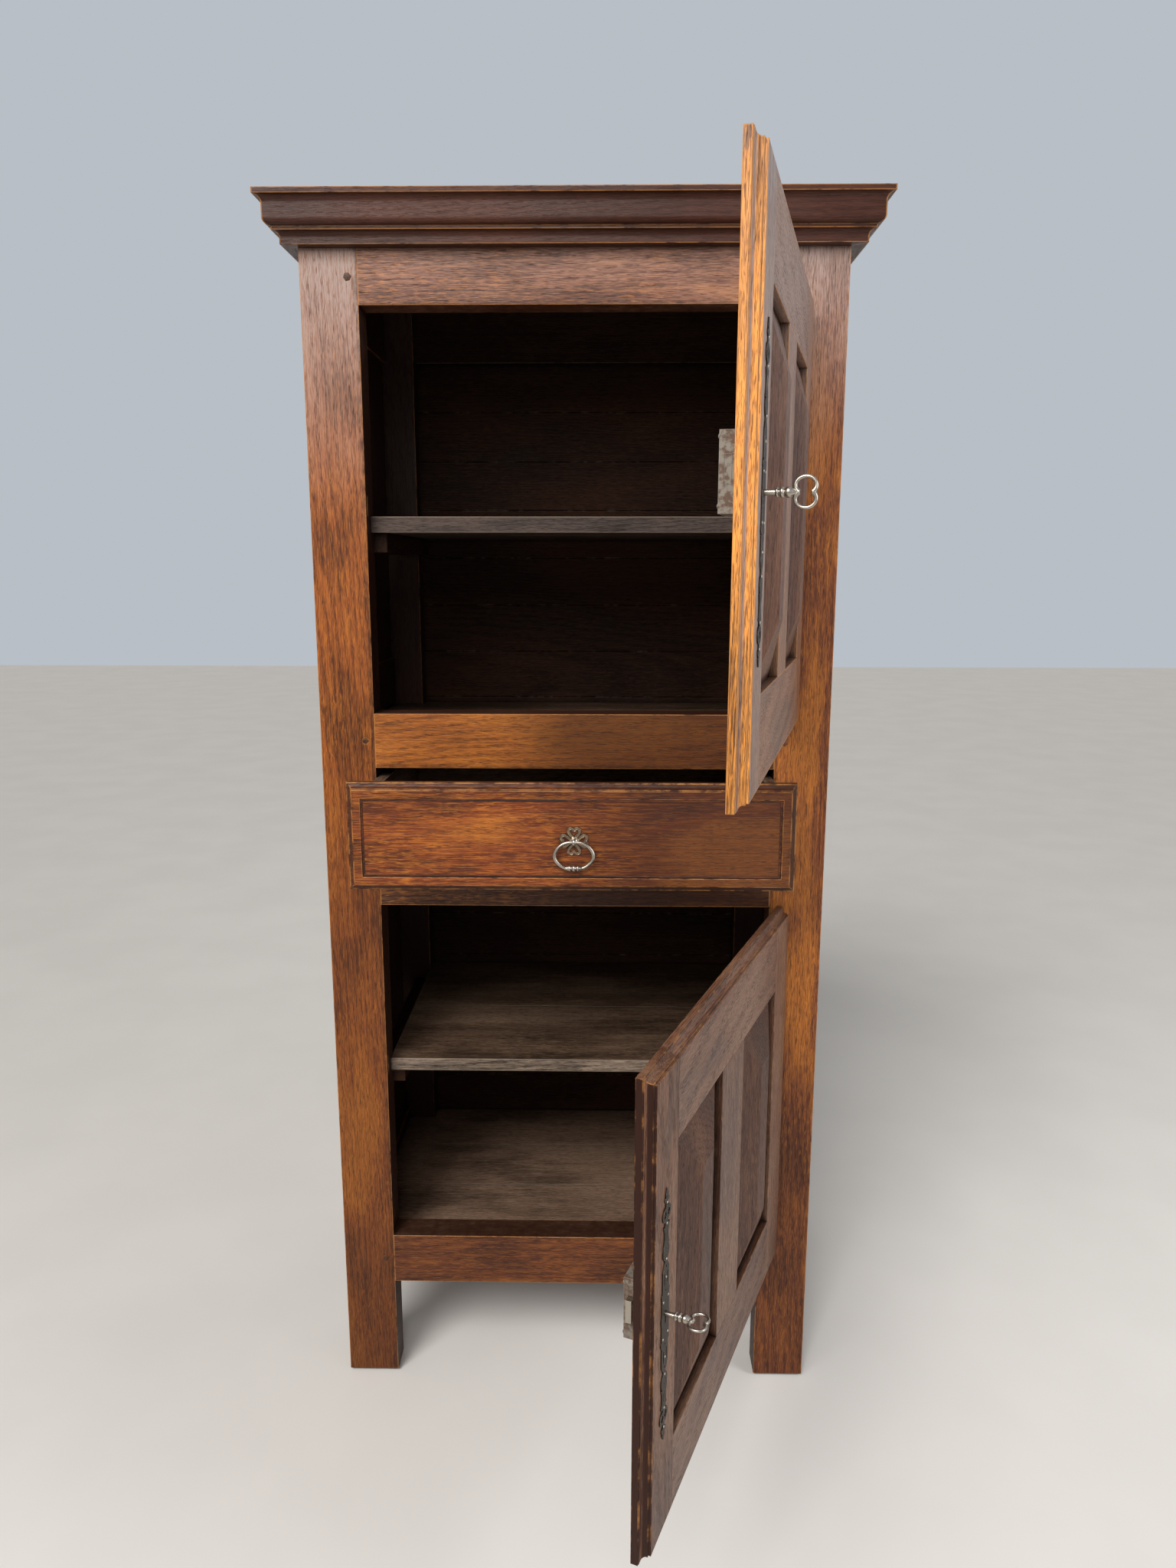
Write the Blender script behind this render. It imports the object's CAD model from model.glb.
"""Looks of a tall narrow oak cupboard: wood and iron finishes, and its turned and wrought pieces."""

import math
from typing import NamedTuple

import bpy
import numpy as np
from mathutils import Euler, Matrix, Vector


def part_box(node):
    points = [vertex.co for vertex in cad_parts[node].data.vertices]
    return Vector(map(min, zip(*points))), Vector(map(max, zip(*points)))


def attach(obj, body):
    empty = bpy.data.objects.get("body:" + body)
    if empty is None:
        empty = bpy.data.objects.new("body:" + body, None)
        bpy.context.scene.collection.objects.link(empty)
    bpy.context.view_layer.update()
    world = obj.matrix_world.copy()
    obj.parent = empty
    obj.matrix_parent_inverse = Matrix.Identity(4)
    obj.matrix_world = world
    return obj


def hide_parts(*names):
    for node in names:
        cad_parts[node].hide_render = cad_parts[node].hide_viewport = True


bl_info = {
    "name": "Tall oak cupboard",
    "version": (1, 0, 0),
    "blender": (4, 5, 0),
    "location": "View3D > Sidebar > Cupboard",
    "description": "Waxed oak and iron finishes, keys, ring pull, pegs and nails for a tall narrow cupboard",
    "category": "Add Mesh",
}

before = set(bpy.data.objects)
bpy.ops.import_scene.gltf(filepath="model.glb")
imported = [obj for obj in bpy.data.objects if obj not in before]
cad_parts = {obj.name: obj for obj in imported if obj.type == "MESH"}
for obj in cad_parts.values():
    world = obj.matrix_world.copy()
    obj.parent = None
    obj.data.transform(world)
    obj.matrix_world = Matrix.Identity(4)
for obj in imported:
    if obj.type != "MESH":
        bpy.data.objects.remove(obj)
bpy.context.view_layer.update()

# Places in mm from the drawing's middle front: to the right, back, and up from the floor

MM = 0.001
# where that middle stands in the frame
DRAWING = np.array([357.5, -25.0, 0.0])
# the doors' hinge pins, and the middle of both locks across the closed front
PIN = np.array([331.6, -4.6, 0.0])
LOCK_X = -282.0
# in a closed door: the front of its keyhole plate, the plate's middle from the lock's, the case's back
PLATE_FRONT, PLATE_MIDDLE, CASE_BACK = -24.1, -4.5, 16.0
# the pegs of the front's joints, the one that is cut to a diamond, and where their heads begin
PEG_X = 330.0
PEG_HEIGHTS = (224.0, 909.5, 1135.75, 1819.75)
DIAMOND_PEG = (-PEG_X, 1135.75)
PEG_FRONT, DIAMOND_FRONT = -0.8, 0.35
# the bar that the bail hangs on, and how far behind it the drawer's sunk field lies
EYE = (4.5, -171.2, 1016.0)
EYE_TO_FIELD = 9.0
# the edges of the drawer's sunk field, and its own face, which the pull's plate lies on
FIELD_X = 305.0
FIELD_LOW, FIELD_HIGH = 960.5, 1077.5
FIELD_Y = -162.2


def drawn(x, y, z):
    """A point of the drawing, in metres in the frame."""
    return (np.array([x, y, z]) + DRAWING) * MM


class Door(NamedTuple):
    """A door: its opening in degrees, the height of its lock in mm, and its key's turn in degrees."""

    name: str
    opened: float
    lock_height: float
    key_turn: float

    def ways(self):
        """Across the door from lock to hinge, and out of its face."""
        c = math.cos(math.radians(self.opened))
        s = math.sin(math.radians(self.opened))
        return np.array([c, s, 0.0]), np.array([s, -c, 0.0])

    def spot(self, across, deep, up):
        """A point in mm from the lock of the closed door, turned with the door about its pins, in metres:
        point = pins + (distance from them across) * across way - (distance behind them) * out way."""
        way, out = self.ways()
        swung = PIN + (LOCK_X + across - PIN[0]) * way - (deep - PIN[1]) * out
        return drawn(swung[0], swung[1], self.lock_height + up)


UPPER = Door("upper", 76.0, 1476.0, 0.0)
LOWER = Door("lower", 68.2, 563.0, 270.0)

# Sizes and colours


def tone(red, green, blue):
    """A screen colour, 0 to 255, in linear light: ((c + 0.055) / 1.055) to the power 2.4, or c / 12.92."""
    screen = np.array([red, green, blue]) / 255
    linear = np.where(screen <= 0.04045, screen / 12.92, ((screen + 0.055) / 1.055) ** 2.4)
    return tuple(float(c) for c in linear)


def colour(name, about, red, green, blue):
    return bpy.props.FloatVectorProperty(
        name=name, description=about, subtype="COLOR", size=3, min=0, max=1, default=tone(red, green, blue)
    )


def number(name, about, value, low=0.0, high=10.0, **kind):
    return bpy.props.FloatProperty(name=name, description=about, default=value, min=low, max=high, **kind)


def length(name, about, mm, low=0.0, high=10.0):
    return number(name, about, mm * MM, low, high, subtype="DISTANCE", unit="LENGTH")


def share(name, about, value):
    return number(name, about, value, high=1.0, subtype="FACTOR")


class CupboardOak(bpy.types.PropertyGroup):
    frame_deep: colour("Frame grain", "Dark grain lines of posts and rails", 46, 18, 6)
    frame_body: colour("Frame body", "Body colour of posts and rails", 154, 82, 32)
    frame_light: colour("Frame light", "Golden bands of posts and rails", 212, 130, 46)
    right_body: colour("Right post", "Body colour of the post by the hinges", 124, 66, 36)
    upper_body: colour("Upper door body", "Body colour of the upper door's frame", 134, 90, 64)
    upper_light: colour("Upper door light", "Lighter bands of the upper door's frame", 178, 138, 106)
    door_body: colour("Door body", "Body colour of the lower door's frame", 152, 106, 80)
    door_light: colour("Door light", "Lighter bands of the lower door's frame", 184, 144, 116)
    panel_body: colour("Panel body", "Body colour of the door panels", 92, 56, 36)
    upper_edge: colour("Upper door edge", "Golden edge of the upper door", 212, 138, 56)
    lower_edge: colour("Lower door edge", "Dark edge of the lower door", 44, 22, 14)
    drawer_body: colour("Drawer body", "Body colour of the drawer front", 134, 64, 27)
    inner_deep: colour("Inside grain", "Dark grain inside", 30, 21, 16)
    inner_body: colour("Inside", "Boards and shelves inside", 92, 71, 56)
    inner_light: colour("Inside light", "Dry pale grain of the shelves", 140, 115, 95)
    shelf_body: colour("Upper shelf", "Edge of the shelf behind the upper door", 78, 68, 64)
    floor_body: colour("Lower floor", "Dry boards of the lowest floor", 138, 111, 93)
    golden_body: colour("Golden rail", "Body colour of the rail over the drawer", 172, 98, 40)
    back_body: colour("Back", "Planks of the back", 63, 40, 30)
    back_light: colour("Back light", "Lighter bands of the back", 84, 56, 39)
    cornice_body: colour("Cornice", "Body colour of the cornice", 69, 40, 31)
    cornice_light: colour("Cornice light", "Lighter bands of the cornice", 86, 49, 33)
    worn: colour("Worn edges", "Edges rubbed down to bare wood", 204, 140, 76)
    dry_worn: colour("Worn shelf edges", "Edges of the shelves, rubbed dry", 142, 126, 112)
    bloom: colour("Wax bloom", "Grey bloom of old wax", 158, 138, 130)
    ring_width: length("Ring width", "Distance between growth rings", 3.1, 0.0005, 0.02)
    figure: share("Figure", "Strength of the grain's colours", 0.8)
    polish: share("Polish", "Gloss of the wax", 0.55)


class CupboardIron(bpy.types.PropertyGroup):
    bright: colour("Rubbed iron", "Keys, pull and lower bolt, bright from use", 172, 163, 151)
    plate: colour("Plates", "Keyhole plates", 66, 58, 52)
    case: colour("Lock cases", "Dusty iron of the lock cases and the upper bolt", 128, 120, 109)
    brown: colour("Petals", "Brown iron of the pull's plate", 150, 128, 104)
    black: colour("Hinges", "Dark iron of the hinges", 58, 52, 48)
    rust: colour("Rust", "Brown in the low places", 84, 52, 34)


class CupboardPull(bpy.types.PropertyGroup):
    wire: length("Wire radius", "Radius of the bail's wire at its top", 2.0)
    side: length("Side radius", "Radius of the wire where the sides are thickest", 2.75)
    petal_band: length("Petal band", "Width of the metal band round each petal", 4.6)


class CupboardKeys(bpy.types.PropertyGroup):
    shank: length("Shank radius", "Radius of the key's hollow shank", 3.2)
    lobe: length("Bow lobe", "Half the height of each lobe of the bow, to the middle of its wire", 8.4)
    thin: length("Thin wire", "Radius of the bow's wire at its outer ends", 1.75)
    thick: length("Thick wire", "Radius of the bow's wire at its points", 2.7)


class CupboardTrim(bpy.types.PropertyGroup):
    peg: length("Peg radius", "Radius of the wooden pegs", 4.8)
    peg_body: colour("Peg", "Body colour of the pegs", 58, 38, 30)
    peg_deep: colour("Peg grain", "Dark grain of the pegs", 22, 12, 8)
    nail: length("Nail radius", "Radius of the nail heads on the keyhole plates", 1.7)
    bead: length("Bead width", "Width of the bead round the drawer's field", 3.4)
    bead_deep: colour("Bead grain", "Dark grain of the drawer's bead", 34, 18, 11)


class CupboardStage(bpy.types.PropertyGroup):
    floor: colour("Floor", "Colour of the pale floor", 230, 227, 223)
    backdrop: colour("Backdrop", "Colour behind the cupboard", 184, 191, 198)
    fill: number("Fill", "Soft light from all round", 0.28, high=3.0)
    sun: number("Sky", "Strength of the broad light", 1.5)
    lamp: number("Lamp", "Power of the soft lamp over the front", 50, high=500, subtype="POWER")
    side_lamp: number("Side lamp", "Power of the soft lamp on the right", 48, high=500, subtype="POWER")
    lens: number("Lens", "Focal length on a 36 mm frame", 24.987, 10, 200, unit="CAMERA")


# Surfaces


def circle_steps(count):
    """The angles of so many even steps round a circle."""
    return np.linspace(0, 2 * np.pi, count, endpoint=False)


def outwards(points, faces):
    """The same closed surface, turned round if it is inside out: then the sum of a . (b x c) over its
    triangles, which is six times the volume, is below zero."""
    tris = np.array([[face[0], face[k], face[k + 1]] for face in faces for k in range(1, len(face) - 1)])
    a, b, c = (points - points.mean(0))[tris].transpose(1, 0, 2)
    if (a * np.cross(b, c)).sum() < 0:
        faces = [face[::-1] for face in faces]
    return points, faces


def skin(rings, closed=False):
    """A surface over a stack of rings, an array (rings, points, 3). Point j of ring i joins j + 1 and ring
    i + 1. A closed stack joins its last ring to its first. An open one gets a point in each end."""
    rings = np.asarray(rings, float)
    count, around = rings.shape[:2]
    rows = np.arange(count if closed else count - 1)[:, None]
    here, above = rows * around, (rows + 1) % count * around
    j = np.arange(around)
    n = (j + 1) % around
    faces = np.stack([here + j, here + n, above + n, above + j], -1).reshape(-1, 4).tolist()
    points = rings.reshape(-1, 3)
    if not closed:
        first = count * around
        points = np.vstack([points, rings[0].mean(0), rings[-1].mean(0)])
        faces += np.stack([n, j, np.full(around, first)], -1).tolist()
        top = (count - 1) * around
        faces += np.stack([top + j, top + n, np.full(around, first + 1)], -1).tolist()
    return outwards(points, faces)


def slab(sides):
    """A slab between two copies of one outline, an array (2, points, 3), with its two faces as polygons."""
    count = sides.shape[1]
    j = np.arange(count)
    n = (j + 1) % count
    faces = np.stack([j, n, n + count, j + count], -1).tolist()
    faces += [j[::-1].tolist(), (j + count).tolist()]
    return outwards(sides.reshape(-1, 3), faces)


def turned(profile, origin, axis, steps=40):
    """A profile of (distance along the axis, radius) turned about the axis: point = origin + along * axis
    + radius * (cos t * side + sin t * other side)."""
    along, radius = np.asarray(profile, float).T
    axis = np.asarray(axis, float) / np.linalg.norm(axis)
    upright = abs(axis[2]) >= 0.9
    side = np.cross(axis, [1.0, 0.0, 0.0] if upright else [0.0, 0.0, 1.0])
    side /= np.linalg.norm(side)
    other = np.cross(axis, side)
    t = circle_steps(steps)
    circle = np.cos(t)[:, None] * side + np.sin(t)[:, None] * other
    rings = np.asarray(origin) + along[:, None, None] * axis + radius[:, None, None] * circle[None]
    return skin(rings)


def sides_of(run, normal):
    """Across a path that lies in a plane: each step of its run, made one long, crossed with the normal."""
    return np.cross(run / np.linalg.norm(run, axis=1)[:, None], normal)


def wire(path, radius, normal, steps, closed=False):
    """A round wire along a path in a plane: point = path + radius * (cos t * side + sin t * normal), where
    side is the path's direction crossed with the plane's normal."""
    run = np.roll(path, -1, 0) - np.roll(path, 1, 0) if closed else np.gradient(path, axis=0)
    side = sides_of(run, normal)
    radius = np.broadcast_to(radius, len(path))[:, None, None]
    t = circle_steps(steps)[None, :, None]
    rings = path[:, None] + radius * (np.cos(t) * side[:, None] + np.sin(t) * np.asarray(normal))
    return skin(rings, closed)


def band(path, profile, normal):
    """A flat profile of (across, out) carried round a closed path in a plane: point = path + across * side
    + out * normal."""
    side = sides_of(np.roll(path, -1, 0) - np.roll(path, 1, 0), normal)
    across, out = profile.T
    rings = path[:, None] + across[None, :, None] * side[:, None] + out[None, :, None] * np.asarray(normal)
    return skin(rings, closed=True)


def dome(radius, height, origin, axis, sink=0.3):
    """A nail head on a short stem: half an ellipse turned about the axis, radius * cos s out and
    height * sin s up."""
    s = np.linspace(0, np.pi / 2, 6)[:-1]
    head = list(zip(height * np.sin(s), radius * np.cos(s)))
    profile = [(-sink * radius, radius * 0.96)] + head + [(height * 0.999, radius * 0.08)]
    return turned(profile, origin, axis, steps=18)


def join(parts):
    """Several (points, faces) in one list, with the faces' numbers moved up past the points before them."""
    points = []
    faces = []
    base = 0
    for part_points, part_faces in parts:
        points.append(part_points)
        faces += [[i + base for i in face] for face in part_faces]
        base += len(part_points)
    return np.vstack(points), faces


def new_piece(name, parts, finish, body, stands_for=(), sharp=35.0):
    """One object in metres, at the origin, smooth but for edges steeper than the sharp angle."""
    points, faces = join(parts)
    mesh = bpy.data.meshes.new(name)
    mesh.from_pydata(points.tolist(), [], faces)
    mesh.validate()
    mesh.update()
    mesh.polygons.foreach_set("use_smooth", [True] * len(mesh.polygons))
    mesh.set_sharp_from_angle(angle=math.radians(sharp))
    mesh.materials.append(finish)
    piece = bpy.data.objects.new(name, mesh)
    bpy.context.scene.collection.objects.link(piece)
    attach(piece, body)
    if stands_for:
        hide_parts(*stands_for)
    return piece


# Shader helpers


def plug(tree, socket, value):
    """Links a field to a socket, or else sets the socket's own value."""
    if isinstance(value, Field):
        tree.links.new(value.socket, socket)
    else:
        socket.default_value = value


def add(tree, kind, sockets=None, **settings):
    """A node with its settings, and its sockets set or linked by name or number."""
    node = tree.nodes.new("ShaderNode" + kind)
    for key, value in settings.items():
        setattr(node, key, value)
    for key, value in (sockets or {}).items():
        plug(tree, node.inputs[key], value)
    return node


def made(tree, kind, output, sockets=None, **settings):
    """One output of a new node, as a field."""
    return Field(tree, add(tree, kind, sockets, **settings).outputs[output])


def calc(operation, a, b=0.0):
    """A Math node on two numbers, of which at least one is a field."""
    tree = a.tree if isinstance(a, Field) else b.tree
    return made(tree, "Math", 0, {0: a, 1: b}, operation=operation)


class Field:
    """A number, vector or colour that changes over a surface, and the node tree that it belongs to. Number
    fields are added, subtracted, multiplied and divided by Math nodes."""

    def __init__(self, tree, socket):
        self.tree = tree
        self.socket = socket

    def __add__(self, other):
        return calc("ADD", self, other)

    def __sub__(self, other):
        return calc("SUBTRACT", self, other)

    def __rsub__(self, other):
        return calc("SUBTRACT", other, self)

    def __mul__(self, other):
        return calc("MULTIPLY", self, other)

    def __truediv__(self, other):
        return calc("DIVIDE", self, other)

    def within_one(self):
        """Keeps the result of the last sum or product between 0 and 1."""
        self.socket.node.use_clamp = True
        return self


def ramp(value, low, high):
    """A smooth step from 0 at low to 1 at high. Where low is the greater, it falls."""
    return made(value.tree, "MapRange", 0, {0: value, 1: low, 2: high}, interpolation_type="SMOOTHSTEP")


def vector_math(operation, *vectors, output="Vector"):
    sockets = dict(enumerate(vectors))
    return made(vectors[0].tree, "VectorMath", output, sockets, operation=operation)


def dot(a, b):
    return vector_math("DOT_PRODUCT", a, b, output="Value")


def squeeze(vector, by):
    """The vector with its Z made smaller, so that a pattern on it is drawn out along Z."""
    return vector_math("MULTIPLY", vector, (1, 1, by))


def split(vector):
    """The three numbers of a vector."""
    return [Field(vector.tree, socket) for socket in add(vector.tree, "SeparateXYZ", {0: vector}).outputs]


def noise(vector, scale, detail=2.0, rough=0.5, bend=0.0):
    sockets = {"Vector": vector, "Scale": scale, "Detail": detail, "Roughness": rough, "Distortion": bend}
    return made(vector.tree, "TexNoise", "Fac", sockets)


def solid(rgb):
    """A plain colour as a socket takes it."""
    return (*rgb, 1.0)


def mix(tree, share_of_b, a, b, mode="MIX"):
    """Colour a with a share of colour b over it."""
    return made(tree, "Mix", 2, {0: share_of_b, 6: a, 7: b}, data_type="RGBA", blend_type=mode)


def new_group(name, inputs, outputs):
    """A group with named sockets: its tree, and its inputs by name. An input's default gives its type: one
    number, a vector of three or a colour of four."""
    tree = bpy.data.node_groups.new(name, "ShaderNodeTree")
    for label, default in inputs.items():
        kind = "Float" if isinstance(default, float) else {3: "Vector", 4: "Color"}[len(default)]
        socket = tree.interface.new_socket(name=label, in_out="INPUT", socket_type="NodeSocket" + kind)
        socket.default_value = default
    for label, kind in outputs.items():
        tree.interface.new_socket(name=label, in_out="OUTPUT", socket_type="NodeSocket" + kind)
    given = tree.nodes.new("NodeGroupInput").outputs
    return tree, {socket.name: Field(tree, socket) for socket in given}


def put_out(tree, fields):
    """Gives a group's outputs their fields, by name."""
    out = tree.nodes.new("NodeGroupOutput")
    for name, field in fields.items():
        plug(tree, out.inputs[name], field)


def use_group(tree, name, sockets):
    """A group's outputs in this tree, by name."""
    node = add(tree, "Group", sockets, node_tree=bpy.data.node_groups[name])
    return {socket.name: Field(tree, socket) for socket in node.outputs}


# Finishes

BLACK = (0, 0, 0, 1)
ORIGIN = (0, 0, 0)
# where in the log the boards begin, and how much age darkens them
LOG_START = (0.0, 0.383, 1.696)
AGED = (0.94, 0.94, 0.94)
# the light bands of an edge against its own colour, and the dirt in crevices against the dark grain's
EDGE_BANDS = (1.7, 1.6, 1.5)
DIRT = (0.35, 0.35, 0.35)
# a colour that the edges of rubbed iron come near
BARE_IRON = (1.0, 0.95, 0.88)
# turns about X and Y that lay the log's Z along a board's grain
GRAIN_TURN = {"x": (0.0, math.pi / 2), "y": (-math.pi / 2, 0.0), "z": (0.0, 0.0)}
GRAIN_WAY = {"x": Vector((1, 0, 0)), "y": Vector((0, 1, 0)), "z": Vector((0, 0, 1))}
# the places along the log that boards are cut from: how many, the first and the step, in metres, and the
# same for how far the heart lies beside the board
CUTS = 17
FIRST_CUT, CUT_STEP = -2.0, 0.31
FIRST_HEART, HEART_STEP = 0.06, 0.012
# metres that lie well past every board
FAR = 10.0
NOWHERE = (90.0, 90.0, 90.0)
OAK_COLOURS = ("Deep", "Body", "Light", "Worn", "Bloom", "Edge Body")
OAK_VALUES = {
    "Ring Width": 0.0031, "Heart": 0.12, "Figure": 0.8, "Wear": 0.6, "Wear Width": 0.0025,
    "Bloom Amount": 0.2, "Bloom Low": 1.3, "Bloom High": 1.9, "Soil Height": 0.5, "Dark From": FAR,
    "Polish": 0.5, "Inner": 0.0,
}


def make_grain_group():
    """Oak sawn from a log whose heart lies beside the board, with the grain along Z. Rings repeat with the
    distance from the heart. Streaks, pores and flecks are noise drawn out along Z, mottle is broad noise."""
    names = ("Rings", "Streaks", "Pores", "Flecks", "Mottle", "Height")
    inputs = {"Vector": ORIGIN, "Ring Width": 0.0031, "Heart": 0.12}
    tree, given = new_group("oak grain", inputs, dict.fromkeys(names, "Float"))
    at = given["Vector"]
    sway = (noise(squeeze(at, 0.25), 8.0, 3.0) - 0.5) * 0.07
    x, y, z = split(at)
    dx = x + given["Heart"] + sway
    dy = y + 0.07 + z * 0.02
    from_heart = calc("SQRT", dx * dx + dy * dy)
    rings = calc("SINE", from_heart / given["Ring Width"] * (2 * math.pi)) * 0.5 + 0.5
    lines = noise(squeeze(at, 0.02), 330.0, 3.0, 0.6)
    threads = noise(squeeze(at, 0.05), 1050.0, 2.0, 0.55)
    streaks = ramp(threads * 0.6 + lines * 0.4, 0.4, 0.6)
    pores = ramp(noise(squeeze(at, 0.07), 1300.0, 1.0), 0.52, 0.6) * (rings * 0.6 + 0.4)
    patches = ramp(noise(squeeze(at, 0.5), 14.0), 0.42, 0.6)
    flecks = ramp(noise(squeeze(at, 0.2), 260.0, bend=0.3), 0.54, 0.64) * patches
    mottle = noise(squeeze(at, 0.3), 10.0, 4.0, 0.6)
    height = streaks * 0.3 - pores * 0.8
    put_out(tree, dict(zip(names, (rings, streaks, pores, flecks, mottle, height))))


def make_wear_group():
    """Edges rubbed bare: where the rounded normal leaves the flat one, broken up by noise. It also gives the
    rounded normal itself, for soft arrises, and a mask of the crevices, where little of the air is seen."""
    tree, given = new_group(
        "rubbed edges",
        {"Vector": ORIGIN, "Width": 0.0025, "Amount": 0.6},
        {"Mask": "Float", "Normal": "Vector", "Crevice": "Float"},
    )
    rounded = made(tree, "Bevel", 0, {"Radius": given["Width"]}, samples=6)
    flat = made(tree, "NewGeometry", "Normal")
    edge = ramp(1.0 - dot(rounded, flat), 0.004, 0.09)
    patchy = noise(given["Vector"], 38.0, 5.0, 0.65) - (1.0 - given["Amount"]) * 0.55
    rubbed = ramp(patchy, 0.08, 0.3)
    air = made(tree, "AmbientOcclusion", "AO", {"Distance": 0.012}, samples=6) + (rubbed - 0.5) * 0.1
    crevice = ramp(air, 0.85, 0.4)
    put_out(tree, {"Mask": (edge * rubbed).within_one(), "Normal": rounded, "Crevice": crevice})


def make_oak_group():
    """Old waxed oak. The body colour is darkened along streaks and pores, warmed along flecks, mottled,
    greyed by bloom between two heights, darkened near the floor and past a distance along X, soiled
    beyond a box, and rubbed light along its edges. A face that looks the edge's way, or to the middle of
    the cupboard, takes the edge's colour."""
    inputs = dict.fromkeys(("Vector", "Place", "Edge Way", "Middle", "Border Middle"), ORIGIN)
    inputs |= {"Border Half": NOWHERE} | dict.fromkeys(OAK_COLOURS, BLACK) | OAK_VALUES
    outputs = {"Color": "Color", "Roughness": "Float", "Height": "Float", "Normal": "Vector"}
    tree, given = new_group("old waxed oak", inputs, outputs)
    place = given["Place"]
    deep = given["Deep"]
    at = vector_math("ADD", given["Vector"], LOG_START)
    grain = use_group(
        tree, "oak grain", {"Vector": at, "Ring Width": given["Ring Width"], "Heart": given["Heart"]}
    )
    wear = use_group(
        tree, "rubbed edges", {"Vector": place, "Width": given["Wear Width"], "Amount": given["Wear"]}
    )
    streaks, pores, mottle = grain["Streaks"], grain["Pores"], grain["Mottle"]

    # the faces that take the edge's colour
    own = made(tree, "TexCoord", "Normal")
    inwards = squeeze(vector_math("SUBTRACT", given["Middle"], place), 0)
    inner = ramp(dot(own, inwards), 0.01, 0.05) * given["Inner"]
    facing = calc("MAXIMUM", ramp(dot(own, given["Edge Way"]), 0.45, 0.8), inner)
    c = mix(tree, facing, given["Body"], given["Edge Body"])
    light = mix(tree, facing, given["Light"], mix(tree, 1.0, c, solid(EDGE_BANDS), "MULTIPLY"))

    # the figure, one layer over another
    for mask, strength, over in (
        (ramp(mottle, 0.5, 0.62), 0.6, light),
        (ramp(mottle, 0.5, 0.38), 0.62, deep),
        (ramp(grain["Rings"], 0.5, 1.0) * ramp(mottle, 0.62, 0.4), 0.5, deep),
        (ramp(streaks, 0.5, 1.0), 0.38, light),
        (ramp(streaks, 0.5, 0.0), 0.46, deep),
        (grain["Flecks"], 0.4, light),
        (pores, 0.75, deep),
    ):
        c = mix(tree, mask * (given["Figure"] * strength), c, over)
    c = mix(tree, 1.0, c, solid(AGED), "MULTIPLY")

    # bloom above, soil below, and dark past a distance along X
    x, _, height = split(place)
    wavy = height + (mottle - 0.5) * 0.5
    haze = ramp(wavy, given["Bloom Low"], given["Bloom High"]) * given["Bloom Amount"]
    held = (streaks * 0.6 + 0.5 - pores * 0.4).within_one()
    c = mix(tree, haze * held * (1.0 - facing * 0.9), c, given["Bloom"])
    below = given["Soil Height"] - wavy
    c = mix(tree, ramp(below, 0.0, 0.4) * 0.42 + ramp(below, 0.75, 1.2) * 0.25, c, deep)
    beyond = x - given["Dark From"] + (mottle - 0.5) * 0.4
    c = mix(tree, ramp(beyond, 0.0, 0.22) * 0.75, c, deep)

    # the border of the board, beyond a box, soiled by hands
    past = vector_math("ABSOLUTE", vector_math("SUBTRACT", place, given["Border Middle"]))
    across, _, up = split(vector_math("SUBTRACT", past, given["Border Half"]))
    border = calc("MAXIMUM", across, up) + (noise(place, 60.0, 3.0, 0.6) - 0.5) * 0.02
    c = mix(tree, ramp(border, -0.008, 0.004), c, mix(tree, 0.75, c, deep))

    # rubbed edges, and dirt in the crevices
    c = mix(tree, wear["Mask"] * 0.8, c, given["Worn"])
    c = mix(tree, wear["Crevice"] * 0.85, c, mix(tree, 1.0, deep, solid(DIRT), "MULTIPLY"))
    rough = given["Polish"] * -0.35 + 0.64 + pores * 0.2 + (mottle - 0.5) * 0.3
    put_out(
        tree,
        {"Color": c, "Roughness": rough.within_one(), "Height": grain["Height"], "Normal": wear["Normal"]},
    )


def make_iron_group():
    """Old wrought iron: broad and fine noise mix the metal with rust, and edges are rubbed bright."""
    inputs = {"Place": ORIGIN, "Metal": BLACK, "Rust": BLACK}
    inputs |= {"Rust Amount": 0.4, "Edge Width": 0.0005, "Gloss": 0.5, "Bare": 1.0}
    outputs = {"Color": "Color", "Normal": "Vector"}
    outputs |= dict.fromkeys(("Roughness", "Metallic", "Height"), "Float")
    tree, given = new_group("old iron", inputs, outputs)
    place, metal = given["Place"], given["Metal"]
    broad = noise(place, 120.0, 4.0, 0.65)
    fine = noise(place, 900.0, 3.0, 0.6)
    wear = use_group(tree, "rubbed edges", {"Vector": place, "Width": given["Edge Width"], "Amount": 0.9})
    low = 0.72 - given["Rust Amount"] * 0.4
    rust = ramp(broad, low, low + 0.16) * (1.0 - wear["Mask"])
    c = mix(tree, rust * 0.75, metal, given["Rust"])
    c = mix(tree, wear["Mask"] * 0.5, c, mix(tree, 0.35, metal, solid(BARE_IRON)))
    rough = 0.72 - given["Gloss"] * 0.5 + (fine - 0.5) * 0.25 + rust * 0.25
    fields = {"Color": c, "Roughness": rough.within_one(), "Metallic": (1.0 - rust * 0.6) * given["Bare"]}
    put_out(tree, fields | {"Height": broad * 0.7 + fine * 0.3, "Normal": wear["Normal"]})


def new_material(name):
    """A material, its tree, its shader, and the places on the object as a field."""
    material = bpy.data.materials.new(name)
    material.use_nodes = True
    tree = material.node_tree
    tree.nodes.clear()
    shader = add(tree, "BsdfPrincipled")
    add(tree, "OutputMaterial", {"Surface": Field(tree, shader.outputs[0])})
    return material, tree, shader, made(tree, "TexCoord", "Object")


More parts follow.
